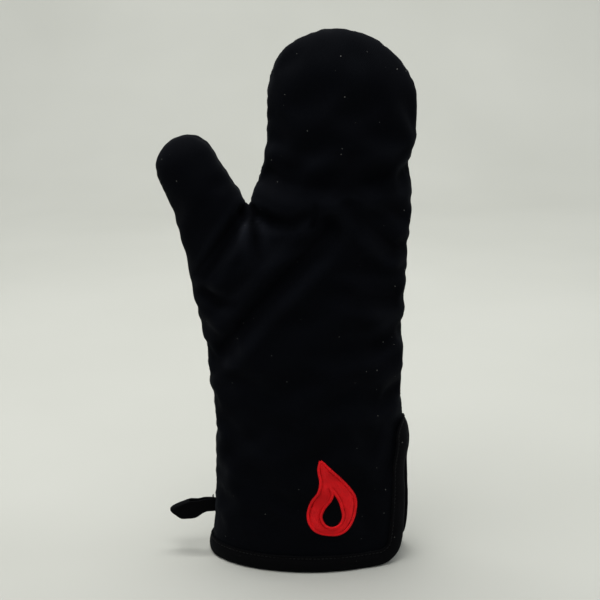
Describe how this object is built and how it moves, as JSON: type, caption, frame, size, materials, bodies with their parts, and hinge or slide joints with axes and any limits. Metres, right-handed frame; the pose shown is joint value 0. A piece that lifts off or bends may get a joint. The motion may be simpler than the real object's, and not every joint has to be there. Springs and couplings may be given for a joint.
{
  "type": "heat resistant mitt",
  "caption": "Long padded twill mitt for outdoor cooking, with finger and thumb pockets that fold, a bound cuff with a side vent, a swinging hanging loop and an embroidered flame.",
  "frame": {"origin": "centre of the cuff's opening, in the plane of its rim", "axes": "+Z from the cuff to the fingertips, -X towards the thumb, +X towards the side vent, +Y towards the palm side and -Y towards the front with the emblem"},
  "size_m": [0.2037, 0.0968, 0.43],
  "materials": {
    "black_twill": "cotton twill, nearly black, soft nap",
    "white_batting": "loose cotton and polyester batting",
    "charcoal_lining": "brushed cotton lining",
    "seam_thread": "sewn seam through all layers, black polyester thread",
    "binding_tape": "folded cotton twill tape",
    "binding_thread": "black polyester sewing thread",
    "red_embroidery": "satin stitch rayon thread, deep red"
  },
  "bodies": {
    "cuff": {"front_shell": "black_twill", "back_shell": "black_twill", "front_batting": "white_batting", "back_batting": "white_batting", "front_lining": "charcoal_lining", "back_lining": "charcoal_lining", "thumb_side_seam": "seam_thread", "vent_side_seam": "seam_thread", "crotch_seam": "seam_thread", "cuff_binding": "binding_tape", "binding_thread": "binding_thread", "flame_emblem": "red_embroidery", "loop_bartack": "binding_thread"},
    "fingers": {"front_shell_fingers": "black_twill", "back_shell_fingers": "black_twill", "front_batting_fingers": "white_batting", "back_batting_fingers": "white_batting", "front_lining_fingers": "charcoal_lining", "back_lining_fingers": "charcoal_lining", "fingers_seam": "seam_thread"},
    "thumb": {"front_shell_thumb": "black_twill", "back_shell_thumb": "black_twill", "front_batting_thumb": "white_batting", "back_batting_thumb": "white_batting", "front_lining_thumb": "charcoal_lining", "back_lining_thumb": "charcoal_lining", "thumb_seam": "seam_thread"},
    "hanging_loop": {"hanging_loop": "binding_tape"}
  },
  "joints": [
    {"name": "finger_fold", "type": "hinge", "parent": "cuff", "child": "fingers", "pos_m": [0.0225, 0.0155, 0.3277], "axis": [-1, 0, 0], "range_deg": [0, 50]},
    {"name": "thumb_fold", "type": "hinge", "parent": "cuff", "child": "thumb", "pos_m": [-0.07275, 0.0141, 0.26681], "axis": [-0.6332, 0, -0.774], "range_deg": [0, 40]},
    {"name": "loop_swing", "type": "hinge", "parent": "cuff", "child": "hanging_loop", "pos_m": [-0.08504, 0, 0.041], "axis": [0, 0, 1], "range_deg": [-75, 75]}
  ]
}
